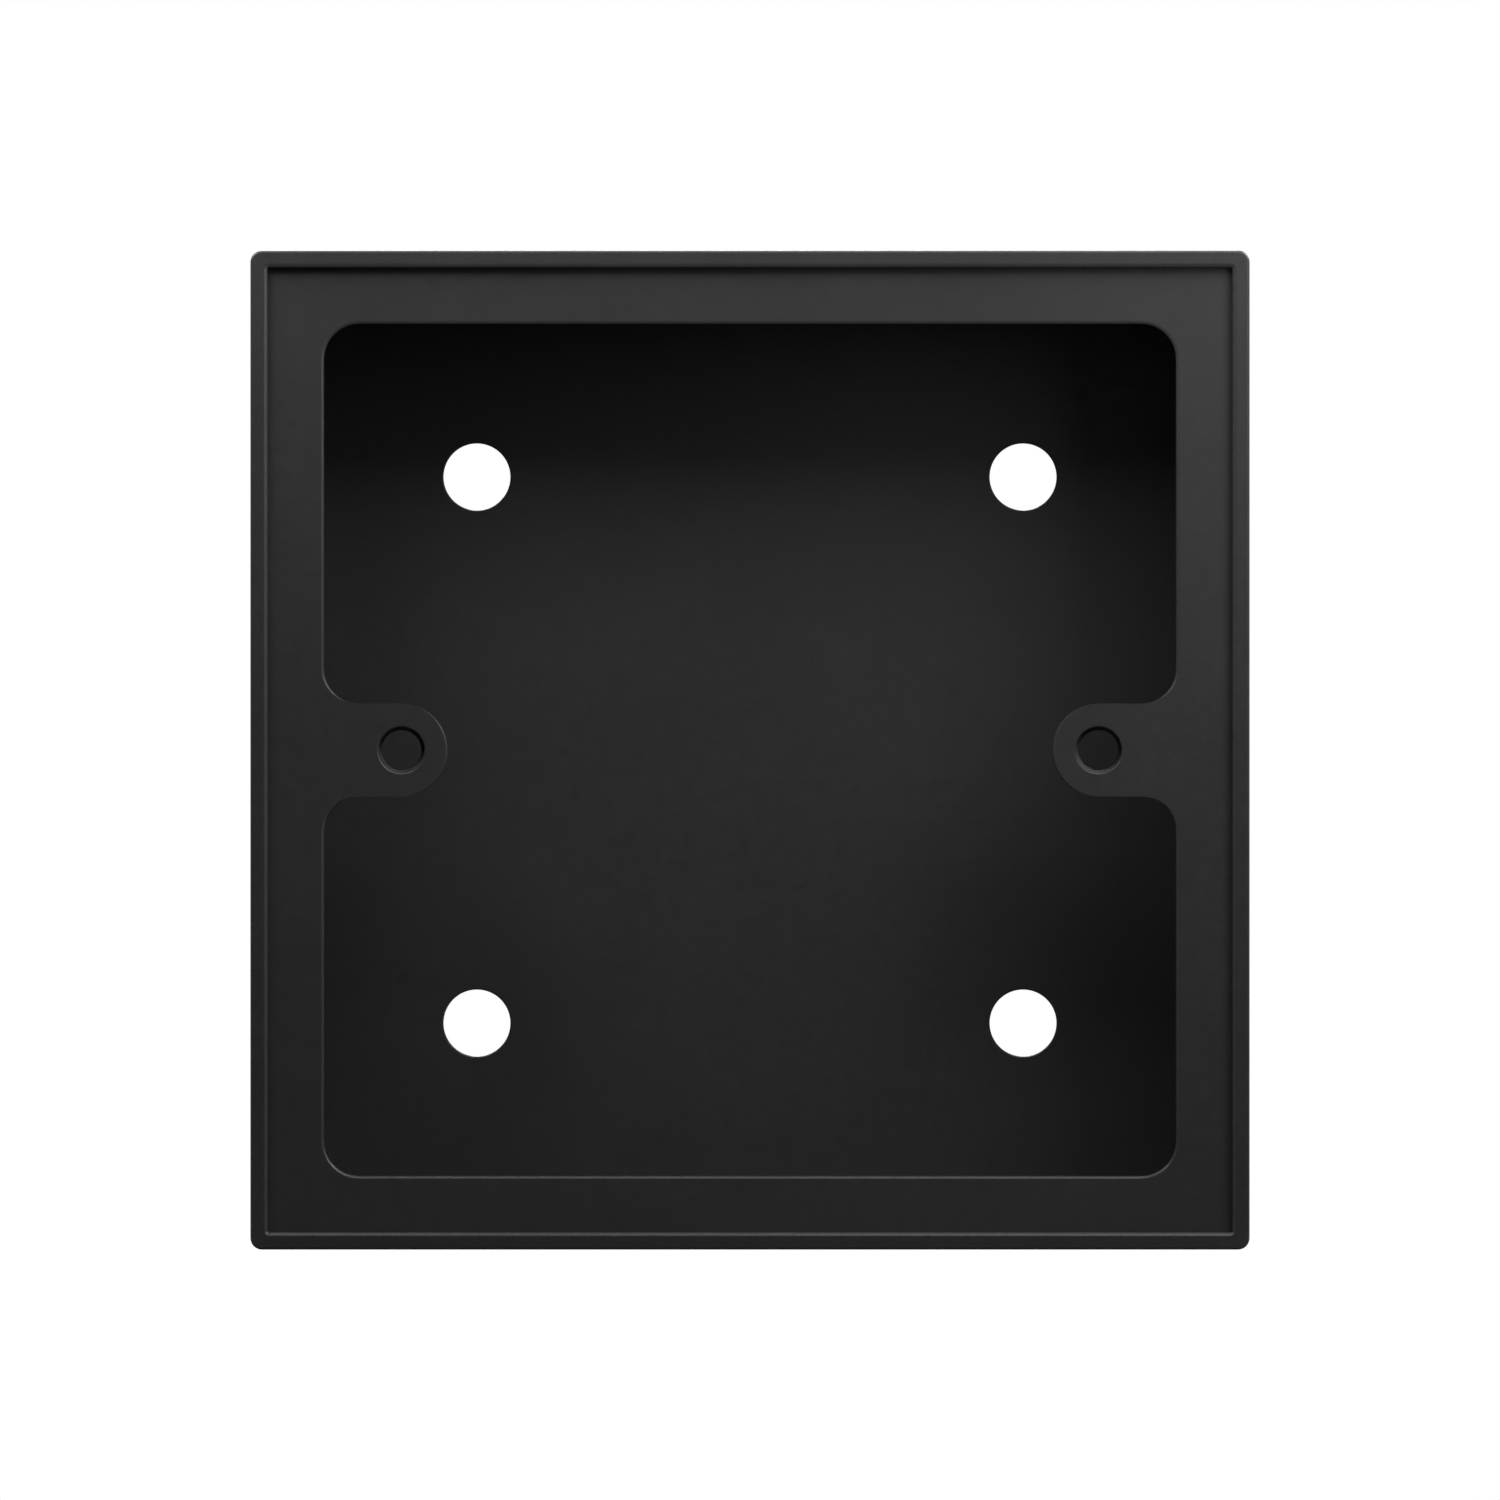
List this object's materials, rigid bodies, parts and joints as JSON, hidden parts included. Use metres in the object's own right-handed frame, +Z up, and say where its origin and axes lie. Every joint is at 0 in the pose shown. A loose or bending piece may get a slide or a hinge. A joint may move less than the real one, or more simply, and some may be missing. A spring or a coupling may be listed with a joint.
{
  "type": "surface-mount wall box",
  "caption": "Square surface-mount wall box for a wall panel: raised lip, flat landing, two fixing lugs, open front, drilled rear plate.",
  "frame": {"origin": "centre of the rear plate's wall face, which lies on the wall plane", "axes": "+X right and +Z up for a person facing the wall; +Y points into the wall, so the open front faces -Y"},
  "size_m": [0.086, 0.035, 0.086],
  "materials": {
    "shell_plastic": "fine spark-eroded texture, matte black",
    "plate_plastic": "fine spark-eroded texture, matte black",
    "screw_steel": "bright zinc plating",
    "insert_steel": "blackened steel"
  },
  "bodies": {
    "root": {"box_shell": "shell_plastic", "rear_plate": "plate_plastic", "plate_screw_top_left": "screw_steel", "plate_screw_top_right": "screw_steel", "plate_screw_bottom_left": "screw_steel", "plate_screw_bottom_right": "screw_steel", "lug_insert_left": "insert_steel", "lug_insert_right": "insert_steel"}
  },
  "joints": []
}
